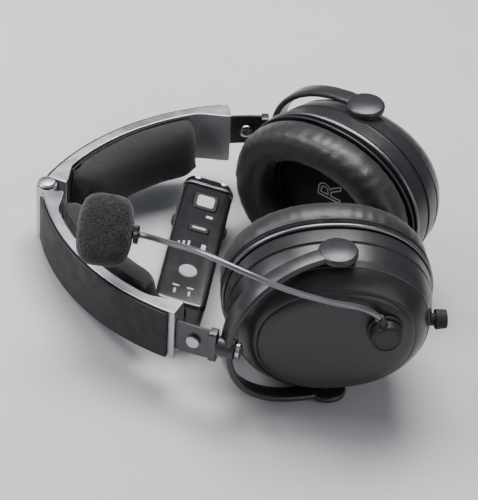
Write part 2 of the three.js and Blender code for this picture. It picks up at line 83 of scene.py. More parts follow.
class Nodes:
    """A material's node tree with short calls for what every finish here needs."""

    def __init__(self, name, **shader):
        self.material = bpy.data.materials.new(name)
        self.material.use_nodes = True
        self.tree = self.material.node_tree
        self.shader = self.tree.nodes["Principled BSDF"]
        self.coord = self.tree.nodes.new("ShaderNodeTexCoord")
        for key, value in shader.items():
            self.shader.inputs[key.replace("_", " ")].default_value = value

    def add(self, kind, **inputs):
        node = self.tree.nodes.new(kind)
        for key, value in inputs.items():
            node.inputs[key].default_value = value
        return node

    def link(self, a, b):
        self.tree.links.new(a, b)

    def noise(self, scale, detail=4, rough=0.55, stretch=None):
        node = self.add("ShaderNodeTexNoise", Scale=scale, Detail=detail, Roughness=rough)
        self.link(self.position(stretch), node.inputs["Vector"])
        return node.outputs["Fac"]

    def cells(self, scale, stretch=None, feature="F1"):
        node = self.add("ShaderNodeTexVoronoi", Scale=scale)
        node.feature = feature
        self.link(self.position(stretch), node.inputs["Vector"])
        return node.outputs["Distance"]

    def position(self, stretch=None):
        if stretch is None:
            return self.coord.outputs["Object"]
        mapping = self.add("ShaderNodeMapping")
        mapping.inputs["Scale"].default_value = stretch
        self.link(self.coord.outputs["Object"], mapping.inputs["Vector"])
        return mapping.outputs["Vector"]

    def spread(self, value, low, high, start=0.3, stop=0.7):
        node = self.tree.nodes.new("ShaderNodeMapRange")
        for index, number in enumerate((start, stop, low, high), start=1):
            node.inputs[index].default_value = number
        self.link(value, node.inputs[0])
        return node.outputs[0]

    def roughness(self, value, low, high):
        self.link(self.spread(value, low, high), self.shader.inputs["Roughness"])

    def tint(self, value, dark, light, start=0.3, stop=0.7):
        ramp = self.tree.nodes.new("ShaderNodeValToRGB")
        ramp.color_ramp.elements[0].color = (*dark, 1)
        ramp.color_ramp.elements[1].color = (*light, 1)
        ramp.color_ramp.elements[0].position = start
        ramp.color_ramp.elements[1].position = stop
        self.link(value, ramp.inputs["Fac"])
        self.link(ramp.outputs["Color"], self.shader.inputs["Base Color"])

    def bump(self, value, distance, strength=1.0):
        node = self.add("ShaderNodeBump", Strength=strength, Distance=distance)
        self.link(value, node.inputs["Height"])
        old = self.shader.inputs["Normal"].links
        if old:
            self.link(old[0].from_socket, node.inputs["Normal"])
        self.link(node.outputs["Normal"], self.shader.inputs["Normal"])


def grey(level, blue=1.04):
    return (level, level, level * blue)


def metal(name, level, rough, grain=0.00002):
    n = Nodes(name, Metallic=1.0, Base_Color=(*grey(level), 1), Anisotropic=0.35)
    n.roughness(n.noise(160, 5), rough * 0.85, rough * 1.2)
    n.bump(n.noise(1500, 3), grain)
    return n.material


def paint(name, level, rough, metallic=0.35):
    n = Nodes(name, Metallic=metallic, Coat_Weight=0.25, Coat_Roughness=0.3)
    n.tint(n.noise(35, 3), grey(level * 0.93), grey(level * 1.07))
    n.roughness(n.noise(220, 5), rough * 0.85, rough * 1.2)
    n.bump(n.noise(2600, 2), 0.000012)
    return n.material


def moulding(name, level, rough, texture=0.00003, coat=0.0):
    n = Nodes(name, IOR=1.49, Coat_Weight=coat, Coat_Roughness=0.12)
    n.tint(n.noise(60, 4), grey(level * 0.85), grey(level * 1.15))
    n.roughness(n.noise(140, 5), rough * 0.85, rough * 1.15)
    n.bump(n.noise(1900, 3, 0.6), texture)
    return n.material


def leather(name, level):
    n = Nodes(name, IOR=1.5, Coat_Weight=0.12, Coat_Roughness=0.35, Sheen_Weight=0.12)
    n.tint(n.noise(55, 5), grey(level * 0.75), grey(level * 1.3))
    n.roughness(n.noise(300, 5), 0.38, 0.5)
    n.bump(n.noise(95, 4, stretch=(1, 1, 2.2)), 0.0002, 0.4)
    n.bump(n.cells(1250), 0.00009, 0.75)
    return n.material


def weave(name, level, scale, depth, sheen=0.3):
    n = Nodes(name, Sheen_Weight=sheen, Sheen_Roughness=0.5, Roughness=0.9)
    first = n.add("ShaderNodeTexWave", Scale=scale, Distortion=0.6)
    first.bands_direction = "Z"
    second = n.add("ShaderNodeTexWave", Scale=scale, Distortion=0.6)
    second.bands_direction = "DIAGONAL"
    for wave in (first, second):
        n.link(n.coord.outputs["Object"], wave.inputs["Vector"])
    both = n.tree.nodes.new("ShaderNodeMath")
    both.operation = "MAXIMUM"
    n.link(first.outputs["Fac"], both.inputs[0])
    n.link(second.outputs["Fac"], both.inputs[1])
    n.tint(both.outputs[0], grey(level * 0.7), grey(level * 1.25), 0.2, 0.95)
    n.bump(n.noise(70, 3), 0.0009, 0.4)
    n.bump(both.outputs[0], depth, 0.7)
    return n.material


def open_foam(name, level):
    n = Nodes(name, Roughness=1.0, Sheen_Weight=0.2)
    pores = n.cells(900)
    n.tint(pores, grey(level * 1.4), grey(level * 0.4), 0.1, 0.75)
    n.bump(n.noise(260, 4), 0.0006, 0.5)
    n.bump(pores, 0.0004, 0.9)
    return n.material


def printed(name, level):
    n = Nodes(name, Roughness=0.6, IOR=1.45)
    n.tint(n.noise(900, 4), grey(level * 0.75), grey(level))
    return n.material


def clear_lens(name):
    n = Nodes(name, Base_Color=(0.8, 0.82, 0.85, 1), IOR=1.5, Coat_Weight=1.0, Coat_Roughness=0.03)
    n.roughness(n.noise(400, 2), 0.05, 0.12)
    return n.material


SILVER = metal("satin_silver", 0.5, 0.36)
PIPING = metal("piping_silver", 0.2, 0.34)
STEEL = metal("brushed_steel", 0.5, 0.28)
DARK_STEEL = metal("blackened_steel", 0.1, 0.34)
YOKE_PAINT = paint("yoke_gunmetal", 0.048, 0.34, 0.6)
BOOM_METAL = paint("boom_grey_metal", 0.2, 0.33, 0.8)
SHELL = paint("shell_dark_grey", 0.022, 0.34, 0.25)
SHELL_PLATE = paint("shell_plate", 0.04, 0.28, 0.4)
BLACK = moulding("black_plastic", 0.012, 0.45)
GLOSS = moulding("gloss_black_plastic", 0.01, 0.22, 0.000008, 0.6)
RUBBER = moulding("black_rubber", 0.014, 0.7, 0.00006)
LEATHER = leather("black_leatherette", 0.012)
PAD_CLOTH = weave("charcoal_pad_cloth", 0.016, 620, 0.00018, 0.15)
MESH_CLOTH = weave("black_speaker_mesh", 0.006, 900, 0.0001, 0.05)
FOAM = open_foam("windscreen_foam", 0.024)
PRINT = printed("light_grey_print", 0.55)
KEY = printed("key_grey", 0.42)
LENS = clear_lens("clear_lens")
BOARD = moulding("green_board", 0.03, 0.4)

# ---- Mesh building ----


def build(name, verts, faces, material, place, body, slot, stands_for=(), bevel=0, sharp=40):
    mesh = bpy.data.meshes.new(name)
    mesh.from_pydata([place @ Vector(v) for v in verts], [], faces)
    return adopt(name, mesh, material, body, stands_for, bevel, sharp)


def build_all(name, shells, material, body, slot, stands_for=(), bevel=0, sharp=40):
    """One piece from several closed shells that run into each other."""
    verts, faces = [], []
    for part_verts, part_faces, place in shells:
        faces += [tuple(i + len(verts) for i in face) for face in part_faces]
        verts += [place @ Vector(v) for v in part_verts]
    return build(name, verts, faces, material, Matrix.Identity(4), body, slot, stands_for, bevel, sharp)


def adopt(name, mesh, material, body, stands_for=(), bevel=0, sharp=40):
    bm = bmesh.new()
    bm.from_mesh(mesh)
    bmesh.ops.remove_doubles(bm, verts=bm.verts, dist=1e-7)
    bmesh.ops.recalc_face_normals(bm, faces=bm.faces)
    bm.to_mesh(mesh)
    bm.free()
    mesh.shade_smooth()
    mesh.set_sharp_from_angle(angle=math.radians(sharp))
    mesh.materials.append(material)
    obj = bpy.data.objects.new(name, mesh)
    bpy.context.scene.collection.objects.link(obj)
    if bevel:
        soften = obj.modifiers.new("edge", "BEVEL")
        soften.width = bevel * MM
        soften.segments = 3
        soften.limit_method = "ANGLE"
        soften.angle_limit = math.radians(sharp)
        soften.harden_normals = True
    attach(obj, body)
    if stands_for:
        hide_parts(*stands_for)
    return obj


def skin(rings, closed=False):
    n = len(rings[0])
    verts = [p for ring in rings for p in ring]
    spans = len(rings) if closed else len(rings) - 1
    faces = []
    for i in range(spans):
        a = i * n
        b = ((i + 1) % len(rings)) * n
        faces += [(a + j, b + j, b + (j + 1) % n, a + (j + 1) % n) for j in range(n)]
    if not closed:
        faces.append(tuple(range(n)))
        faces.append(tuple(range(len(verts) - n, len(verts))))
    return verts, faces


def prism(outline, low, high):
    return skin([[(x, y, low) for x, y in outline], [(x, y, high) for x, y in outline]])


def turned(profile, sides=40, closed=False):
    rings = []
    for r, z in profile:
        angles = [2 * math.pi * j / sides for j in range(sides)]
        rings.append([(r * math.cos(a), r * math.sin(a), z) for a in angles])
    return skin(rings, closed)


def rounded(width, length, radius, steps=6):
    points = []
    for sx, sy, turn in ((1, 1, 0), (-1, 1, 90), (-1, -1, 180), (1, -1, 270)):
        for i in range(steps + 1):
            angle = math.radians(turn + 90 * i / steps)
            x = sx * (width / 2 - radius) + radius * math.cos(angle)
            y = sy * (length / 2 - radius) + radius * math.sin(angle)
            points.append((x, y))
    return points


def smoothstep(x):
    x = min(1, max(0, x))
    return x * x * (3 - 2 * x)


def cut(obj, verts, faces, place, operation="DIFFERENCE"):
    """Booleans another closed shape out of (or into) obj's own mesh."""
    mesh = bpy.data.meshes.new("tool")
    mesh.from_pydata([place @ Vector(v) for v in verts], [], faces)
    bm = bmesh.new()
    bm.from_mesh(mesh)
    bmesh.ops.recalc_face_normals(bm, faces=bm.faces)
    bm.to_mesh(mesh)
    bm.free()
    tool = bpy.data.objects.new("tool", mesh)
    bpy.context.scene.collection.objects.link(tool)
    modifier = obj.modifiers.new("cut", "BOOLEAN")
    modifier.object = tool
    modifier.operation = operation
    modifier.solver = "EXACT"
    others = [m for m in obj.modifiers if m != modifier]
    for other in others:
        other.show_viewport = False
    graph = bpy.context.evaluated_depsgraph_get()
    result = bpy.data.meshes.new_from_object(obj.evaluated_get(graph))
    obj.modifiers.remove(modifier)
    for other in others:
        other.show_viewport = True
    obj.data = result
    obj.data.set_sharp_from_angle(angle=math.radians(40))
    bpy.data.objects.remove(tool)
    bpy.data.meshes.remove(mesh)


# ---- Headband ----

def on_arc(side, t, out):
    angle = math.radians(ARC_START - t)
    start = math.radians(ARC_START)
    r = ARC_RADIUS + out
    x = ARC_RADIUS * math.sin(start) - r * math.sin(angle)
    return x, side * (r * math.cos(angle) - ARC_RADIUS * math.cos(start))


def arc_plate(side, inner, outer, start, stop, low, high, steps=56):
    stations = [start + (stop - start) * i / steps for i in range(steps + 1)]
    depth = inner if callable(inner) else (lambda t: inner)
    outline = [on_arc(side, t, outer) for t in stations]
    outline += [on_arc(side, t, depth(t)) for t in reversed(stations)]
    return prism(outline, low, high)


def band_inner(t):
    rise = max(smoothstep(1 - (t - 3) / 8), smoothstep(1 - (ARC_LENGTH - t) / 10))
    return -BAND_THICK - 5 * rise


def across_band(side, t):
    x, y = on_arc(side, t, 0)
    angle = math.radians(ARC_START - t)
    outward = Vector((-math.sin(angle), side * math.cos(angle), 0))
    turn = Vector((0, 0, 1)).rotation_difference(outward).to_matrix().to_4x4()
    return LYING @ Matrix.Translation((x, y, 0)) @ turn


def band_frame(side, label):
    verts, faces = arc_plate(side, band_inner, BAND_THICK, 2.8, ARC_LENGTH, -BAND_HALF, BAND_HALF)
    obj = build(f"band_{label}", verts, faces, SILVER, LYING, f"band_{label}", "satin_silver",
                [f"headband_frame_{label}"], 0.6, 32)
    third = BAND_HALF / 3
    spans = [(-third + 0.15, third - 0.15)]
    if side < 0:
        spans = [(third + 0.15, BAND_HALF), (-BAND_HALF, -third - 0.15)]
    shells = []
    for low, high in spans:
        shells.append((*arc_plate(side, -BAND_THICK, BAND_THICK, 1.5, 3.2, low, high, 4), LYING))
        lug = [(2.4, low), (4.7, low), (5, low + 0.3), (5, high - 0.3), (4.7, high), (2.4, high)]
        shells.append((*turned(lug, 48, True), LYING))
    build_all(f"knuckle_{label}", shells, SILVER, f"band_{label}", "satin_silver", (), 0, 35)
    cut(obj, *arc_plate(side, -0.95, 0.95, 29, ARC_LENGTH + 2, -8.5, 8.5, 20), LYING)


def pad_section(width, thick, crown):
    """Cushion section in (depth, height): flat back, rounded crowned face."""
    points = []
    for i in range(29):
        angle = math.radians(-90 + 180 * i / 28)
        c, s = math.cos(angle), math.sin(angle)
        points.append((-thick * abs(c) ** crown, width / 2 * math.copysign(abs(s) ** 0.72, s)))
    points += [(0.0, width / 2 * (1 - 2 * k / 10)) for k in range(1, 10)]
    return points


def head_pad(side, label):
    back = -BAND_THICK - 0.3 - 1.6 - 0.3
    rings = []
    first, last, steps = 6.3, 46.8, 50
    for i in range(steps + 1):
        u = i / steps
        near_end = min(u, 1 - u) * steps / 5
        swell = 0.72 + 0.28 * smoothstep(near_end)
        ring = []
        for depth, height in pad_section(31.5 * (0.94 + 0.06 * smoothstep(near_end)), 15 * swell, 0.42):
            slant = 2.4 * (0.5 - u) * (height / 14)
            x, y = on_arc(side, first + (last - first) * u + slant * 0.35, back + depth)
            ring.append((x, y, height))
        rings.append(ring)
    verts, faces = skin(rings)
    obj = build(f"pad_{label}", verts, faces, PAD_CLOTH, LYING, f"band_{label}", "pad_cloth",
                [f"head_pad_{label}"], 0, 60)
    puff(obj, 0.0009)
    crease(obj, 0.00035, 26, 3)
    seam = []
    for i in range(91):
        t = first + 1 + (last - first - 2) * i / 90
        seam.append(Vector((*on_arc(side, t, back - 1.2), 15.4)))
    tube(f"pad_seam_{label}", seam, 0.45, PAD_CLOTH, LYING, f"band_{label}", "pad_cloth")


def puff(obj, cap):
    """Fills a cushion with air: a pressure cloth on a remeshed copy, with its movement capped."""
    remesh = obj.modifiers.new("remesh", "REMESH")
    remesh.mode = "VOXEL"
    remesh.voxel_size = 0.0032
    bake(obj)
    rest = coordinates(obj.data)
    cloth = obj.modifiers.new("cloth", "CLOTH")
    cloth.settings.use_pressure = True
    cloth.settings.uniform_pressure_force = 4
    cloth.settings.effector_weights.gravity = 0
    cloth.settings.quality = 4
    cloth.point_cache.frame_start = 1
    cloth.point_cache.frame_end = 14
    for number in range(1, 15):
        bpy.context.scene.frame_set(number)
    bake(obj)
    bpy.context.scene.frame_set(1)
    move = coordinates(obj.data) - rest
    length = np.linalg.norm(move, axis=1, keepdims=True)
    move *= np.minimum(1, cap / np.maximum(length, 1e-9))
    obj.data.vertices.foreach_set("co", (rest + move).ravel())
    smooth = obj.modifiers.new("smooth", "SMOOTH")
    smooth.iterations = 3
    detail = obj.modifiers.new("detail", "SUBSURF")
    detail.levels = detail.render_levels = 2
    bake(obj)
    obj.data.shade_smooth()


def bake(obj):
    graph = bpy.context.evaluated_depsgraph_get()
    mesh = bpy.data.meshes.new_from_object(obj.evaluated_get(graph))
    obj.modifiers.clear()
    obj.data = mesh


def coordinates(mesh):
    values = np.empty(len(mesh.vertices) * 3)
    mesh.vertices.foreach_get("co", values)
    return values.reshape(-1, 3)


def crease(obj, depth, scale, seed):
    """Presses shallow soft wrinkles into a cushion."""
    def wrinkle(co):
        p = co * scale + Vector((seed, seed * 2, 0))
        return depth * (abs(noise.noise(p * 2.2)) - 0.25 + 0.8 * noise.noise(p * 0.9))

    push(obj, wrinkle)


def push(obj, amount):
    """Moves every vertex along its normal by amount(position)."""
    spots = coordinates(obj.data)
    normals = np.empty(len(obj.data.vertices) * 3)
    obj.data.vertex_normals.foreach_get("vector", normals)
    steps = np.array([amount(Vector(co)) for co in spots])
    spots += normals.reshape(-1, 3) * steps[:, None]
    obj.data.vertices.foreach_set("co", spots.ravel())
    obj.data.update()


def tube(name, points, radius, material, place, body, slot, stands_for=(), sides=16):
    """A round rod along points, its frames carried along without twist."""
    tangents = []
    for i, p in enumerate(points):
        a = points[max(0, i - 1)]
        b = points[min(len(points) - 1, i + 1)]
        tangents.append((b - a).normalized())
    across = tangents[0].orthogonal().normalized()
    rings = []
    for p, direction in zip(points, tangents):
        across = (across - direction * across.dot(direction)).normalized()
        other = direction.cross(across)
        ring = []
        for j in range(sides):
            angle = 2 * math.pi * j / sides
            ring.append(tuple(p + radius * (math.cos(angle) * across + math.sin(angle) * other)))
        rings.append(ring)
    verts, faces = skin(rings)
    return build(name, verts, faces, material, place, body, slot, stands_for)


def stop_screw(side, label):
    face = 0.95
    head = [(3.6, -face), (3.6, -face - 0.9), (3.3, -face - 1.5), (2.6, -face - 1.95), (1.8, -face - 2)]
    socket = [(1.7, -face - 0.9), (0.1, -face - 0.8)]
    nut = [(0.1, face + 1.6), (2.9, face + 1.6), (3.2, face + 1.3), (3.2, face)]
    verts, faces = turned([*nut, (1.6, face), (1.6, -face), *head, *socket], 36)
    place = across_band(side, SCREW_ANGLE)
    build(f"stop_screw_{label}", verts, faces, STEEL, place, f"slider_{label}", "steel",
          [f"slider_screw_{label}"], 0, 30)


def headband():
    for side, label in SIDES:
        band = f"band_{label}"
        band_frame(side, label)
        head_pad(side, label)
        verts, faces = arc_plate(side, -4.4, -2.8, 12.5, 45, -12, 12)
        build(f"carrier_{label}", verts, faces, BLACK, LYING, band, "black_plastic",
              [f"pad_carrier_{label}"], 0.3)
        verts, faces = arc_plate(side, 2.8, 4.2, 3.6, 55.5, -13, 13)
        build(f"trim_{label}", verts, faces, RUBBER, LYING, band, "black_plastic",
              [f"headband_trim_{label}"], 0.6)
    top = BAND_HALF + 0.3
    profile = [(0.1, -top - 2), (1.9, -top - 2), (2.1, -top - 1.7), (2.1, top), (4, top), (4.3, top + 0.3)]
    profile += [(4.3, top + 0.9), (3.6, top + 1.6), (2.2, top + 1.95), (0.1, top + 2)]
    build("hinge_pin_cap", *turned(profile), SILVER, LYING, "band_left", "steel", ["hinge_pin"], 0, 30)
    low = -BAND_HALF - 0.3
    ring = [(2.4, low - 2), (4, low - 2), (4.2, low - 1.7), (4.2, low), (2.4, low)]
    build("hinge_lock_nut", *turned(ring, 40, True), STEEL, LYING, "band_left", "steel", ["hinge_nut"], 0, 30)


# ---- Sliders and yokes ----

def slider_frame(side):
    x, y = on_arc(side, SLIDER_END, 0)
    return x, y, side * math.radians(ARC_START - SLIDER_END)


def along_slider(side):
    x, y, angle = slider_frame(side)
    spot = Matrix.Translation((x, y, 0)) @ Matrix.Rotation(angle, 4, "Z")
    return LYING @ spot @ Matrix.Rotation(math.pi / 2, 4, "Y")


def slider(side, label):
    verts, faces = arc_plate(side, -0.65, 0.65, SLIDER_TAIL, SLIDER_END, -8.2, 8.2)
    obj = build(f"slider_bar_{label}", verts, faces, DARK_STEEL, LYING, f"slider_{label}", "steel",
                [f"slider_{label}"], 0.25)
    cut(obj, *turned([(1.9, -3), (1.9, 3)]), across_band(side, SCREW_ANGLE))
    stop_screw(side, label)
    place = along_slider(side)
    block = (*prism(rounded(16.4, 6, 1.2), -1.5, 2.2), place)
    stem = (*turned([(2, 1), (2, 13.6), (1.6, 14)]), place)
    build_all(f"slider_end_{label}", [block, stem], DARK_STEEL, f"slider_{label}", "steel", (), 0.3)
    ring = [(2.3, 11.3), (3.4, 11.3), (3.6, 11.5), (3.6, 12.9), (3.4, 13.1), (2.3, 13.1)]
    build(f"swivel_ring_{label}", *turned(ring, 36, True), STEEL, place, f"slider_{label}", "steel",
          [f"swivel_nut_{label}"], 0, 30)


def yoke(side, label):
    x, y, angle = slider_frame(side)
    apex = Vector((x + 6.5 * math.cos(angle), y + 6.5 * math.sin(angle), 0))
    pivot = Vector((PIVOT[0], side * PIVOT[1], 0))
    reach = (pivot - apex).length
    turn = math.atan2(pivot.y - apex.y, pivot.x - apex.x)
    place = LYING @ Matrix.Translation(pivot) @ Matrix.Rotation(turn, 4, "Z")
    rings = []
    steps = 72
    for i in range(steps + 1):
        phi = math.radians(-90 + 180 * i / steps)
        c, s = math.cos(phi), math.sin(phi)
        centre = Vector((-reach * abs(c) ** (2 / 2.2), 0, PADDLE_Z * math.copysign(abs(s) ** (2 / 2.2), s)))
        normal = Vector((-c / reach, 0, s / PADDLE_Z)).normalized()
        half = 4.2 + 0.8 * smoothstep(1 - abs(abs(s) - 0.5) * 2)
        if abs(s) > 0.97:
            half = 4.4
        section = rounded(2 * half, 3.2, 1.3, 3)
        rings.append([tuple(centre + Vector((0, w, 0)) + normal * h) for w, h in section])
    shells = [(*skin(rings), place)]
    for end in (1, -1):
        low, high = end * PADDLE_Z - 1.6, end * PADDLE_Z + 1.6
        r = PADDLE_RADIUS
        paddle = [(0.1, low), (r - 0.5, low), (r, low + 0.5)]
        paddle += [(r, high - 0.9), (r - 0.3, high - 0.4), (r - 1, high)]
        shells.append((*turned([*paddle, (0.1, high)], 64), place))
    boss = [(2.3, 2.5), (4.5, 2.5), (4.8, 2.8), (4.8, 10.3), (4.5, 10.6), (2.3, 10.6)]
    shells.append((*turned(boss, 40, True), along_slider(side)))
    build_all(f"fork_{label}", shells, YOKE_PAINT, f"yoke_{label}", "gunmetal", [f"yoke_{label}"], 0, 40)


# ---- Ear cups ----

def oval(inset, out, side, count=120):
    ring = []
    for j in range(count):
        angle = 2 * math.pi * j / count
        c, s = math.cos(angle), math.sin(angle)
        x = (CUP_HALF[0] - inset) * math.copysign(abs(c) ** (2 / OVAL_POWER), c)
        z = (CUP_HALF[1] - inset) * math.copysign(abs(s) ** (2 / OVAL_POWER), s)
        ring.append((x, side * (out - PIVOT_OUT), z))
    return ring


def oval_solid(profile, side, closed=False):
    return skin([oval(inset, out, side) for inset, out in profile], closed)


def out_of_cup(side, along, up):
    axis = Matrix.Rotation(-side * math.pi / 2, 4, "X")
    return cup_place(side) @ Matrix.Translation((along, -side * PIVOT_OUT, up)) @ axis


def dome(side, label):
    inner = [(22, 32.8), (11.4, 26.8), (5.6, 16), (4, 1.8)]
    lower = [(1.9, 1.8), (1.4, 2.2), (1.5, 5), (1.9, 9.6), (2.8, 10), (2.8, 11.2), (2.1, 11.6)]
    upper = [(2.5, 14), (3.4, 18.5), (4.6, 22), (6.2, 25.5), (8.4, 28.9), (11, 31.6), (12.6, 32.8)]
    plate = [(13.4, 32.9), (13.8, 33.5), (14.6, 34.1), (18, 34.8), (20, 35), (26, 35.05), (34, 35.1)]
    verts, faces = oval_solid([*inner, *lower, *upper, *plate], side)
    obj = build(f"shell_{label}", verts, faces, SHELL, cup_place(side), f"cup_{label}", "shell_grey",
                [f"dome_{label}"], 0, 28)
    cut(obj, *turned([(2.2, -60), (2.2, 60)]), cup_place(side))
    if side < 0:
        cut(obj, *turned([(4.4, 25), (4.4, 45)]), out_of_cup(side, KNOB[0], KNOB[1]))
        cut(obj, *turned([(3.3, 30), (3.3, 60)]), cup_place(side) @ Matrix.Rotation(math.pi / 2, 4, "Y"))
    band = [(4.5, 20.8), (4.1, 20.8), (3.9, 21.1), (5.2, 24.2), (5.5, 24.4), (6.1, 24.4), (6.7, 24)]
    build(f"shell_band_{label}", *oval_solid(band, side, True), SHELL_PLATE, cup_place(side), f"cup_{label}",
          "shell_grey", (), 0, 30)


def ear_seal(side, label):
    back, face = -2.7, -21.4
    loops = []
    for i in range(40):
        angle = 2 * math.pi * i / 40
        c, s = math.cos(angle), math.sin(angle)
        inset = 9.6 - 9.3 * math.copysign(abs(c) ** 0.7, c)
        out = (back + face) / 2 - (back - face) / 2 * math.copysign(abs(s) ** 0.7, s)
        loops.append((inset, out))
    verts, faces = oval_solid(loops, side, True)
    obj = build(f"seal_{label}", verts, faces, LEATHER, cup_place(side), f"cup_{label}", "leather",
                [f"ear_seal_{label}"], 0, 60)
    puff(obj, 0.0007)
    crease(obj, 0.0001 if side > 0 else 0.0002, 22, 5 + side)
    radial_tucks(obj, side)
    for name, inset, out in (("outer", 0.5, -4.6), ("inner", 18.9, -5.2)):
        points = [Vector(p) for p in oval(inset, out, side, 160)]
        closed_tube(f"seal_seam_{name}_{label}", points, 0.5, LEATHER, cup_place(side), f"cup_{label}",
                    "leather")


def radial_tucks(obj, side):
    """Small gathers where the leather turns over its inner and outer edges."""
    back = cup_place(side).inverted()

    def tuck(co):
        p = back @ co
        angle = math.atan2(p.z / CUP_HALF[1], p.x / CUP_HALF[0])
        reach = math.hypot(p.z / CUP_HALF[1], p.x / CUP_HALF[0])
        rim = smoothstep((reach - 0.86) / 0.12) + 0.8 * smoothstep((0.68 - reach) / 0.1)
        wander = noise.noise(Vector((math.cos(angle) * 2, math.sin(angle) * 2, 3 + side)))
        ripple = math.sin(angle * 46 + 6 * wander) * (0.5 + 0.5 * noise.noise(Vector((angle * 2, side, 9))))
        return 0.00014 * rim * ripple

    push(obj, tuck)


def closed_tube(name, points, radius, material, place, body, slot, sides=8):
    count = len(points)
    centre = sum(points, Vector()) / count
    rings = []
    for i, p in enumerate(points):
        direction = (points[(i + 1) % count] - points[i - 1]).normalized()
        across = (p - centre)
        across = (across - direction * across.dot(direction)).normalized()
        other = direction.cross(across)
        angles = [2 * math.pi * j / sides for j in range(sides)]
        rings.append([tuple(p + radius * (math.cos(a) * across + math.sin(a) * other)) for a in angles])
    verts, faces = skin(rings, True)
    return build(name, verts, faces, material, place, body, slot)


def letter(name, text, side, size, along, up, out):
    """An outlined letter printed on the speaker cloth, its top towards the headband."""
    curve = bpy.data.curves.new(name, "FONT")
    curve.body = text
    curve.size = size
    curve.align_x = "CENTER"
    curve.align_y = "CENTER"
    curve.fill_mode = "NONE"
    curve.bevel_depth = 0.38
    curve.bevel_resolution = 2
    holder = bpy.data.objects.new(name, curve)
    bpy.context.scene.collection.objects.link(holder)
    graph = bpy.context.evaluated_depsgraph_get()
    lines = bpy.data.meshes.new_from_object(holder.evaluated_get(graph))
    bpy.data.objects.remove(holder)
    across = (0, 0, -side * 0.4, side * (out - PIVOT_OUT))
    facing = Matrix(((0, -1, 0, along), across, (side, 0, 0, up), (0, 0, 0, 1)))
    lines.transform(cup_place(side) @ facing)
    lines.materials.clear()
    adopt(name, lines, PRINT, f"cup_{'right' if side > 0 else 'left'}", (), 0, 60)


def cup(side, label):
    place = cup_place(side)
    body = f"cup_{label}"
    dome(side, label)
    ring = []
    for i in range(16):
        angle = 2 * math.pi * i / 16
        ring.append((1.0 - 1.05 * math.cos(angle), -0.2 + 1.15 * math.sin(angle)))
    build(f"piping_{label}", *oval_solid(ring, side, True), PIPING, place, body, "satin_silver",
          [f"accent_ring_{label}"], 0, 60)
    lip = [(3.4, -1.7), (1.9, -1.7), (1.9, 1.5), (3.4, 1.5)]
    build(f"piping_bed_{label}", *oval_solid(lip, side, True), BLACK, place, body, "black_plastic", (), 0, 40)
    ear_seal(side, label)
    cloth = [(20.1, -2.1), (19.9, -3.2), (21.5, -3.7), (27, -4.1), (36, -4.25)]
    build(f"ear_cloth_{label}", *oval_solid(cloth, side), MESH_CLOTH, place, body, "black_cloth",
          [f"speaker_cloth_{label}"], 0, 60)
    letter(f"ear_letter_{label}", "R" if side > 0 else "L", side, 19, 0, 3, -4.4)
    for node in (f"baffle_plate_{label}", f"driver_{label}", f"dome_liner_{label}"):
        repaint(node, FOAM if "liner" in node else BLACK)
    for where in ("back", "front"):
        repaint(f"pivot_pin_{where}_{label}", STEEL)


def repaint(node, material):
    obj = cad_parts[node]
    if obj.data.materials:
        obj.data.materials[0] = material
    else:
        obj.data.materials.append(material)


# ---- Boom and microphone ----

def knob_centre():
    spot = Vector((KNOB[0], PIVOT_OUT - KNOB[2], KNOB[1]))
    spot.rotate(Matrix.Rotation(math.radians(TOE[-1]), 3, "Z"))
    return spot + Vector((PIVOT[0], -PIVOT[1], 0))


def centripetal(points, per_span=12):
    """A smooth curve through the points, with knots spaced by the root of their distance."""
    padded = [2 * points[0] - points[1], *points, 2 * points[-1] - points[-2]]
    path = []
    for i in range(1, len(padded) - 2):
        p = padded[i - 1:i + 3]
        knots = [0.0]
        for a, b in zip(p, p[1:]):
            knots.append(knots[-1] + max(1e-4, (b - a).length ** 0.5))
        for k in range(per_span):
            t = knots[1] + (knots[2] - knots[1]) * k / per_span
            path.append(neville(p, knots, t))
    return [*path, points[-1]]


def neville(p, k, t):
    def mix(a, b, ta, tb):
        return a * ((tb - t) / (tb - ta)) + b * ((t - ta) / (tb - ta))
    a1 = mix(p[0], p[1], k[0], k[1])
    a2 = mix(p[1], p[2], k[1], k[2])
    a3 = mix(p[2], p[3], k[2], k[3])
    b1 = mix(a1, a2, k[0], k[2])
    b2 = mix(a2, a3, k[1], k[3])
    return mix(b1, b2, k[1], k[2])


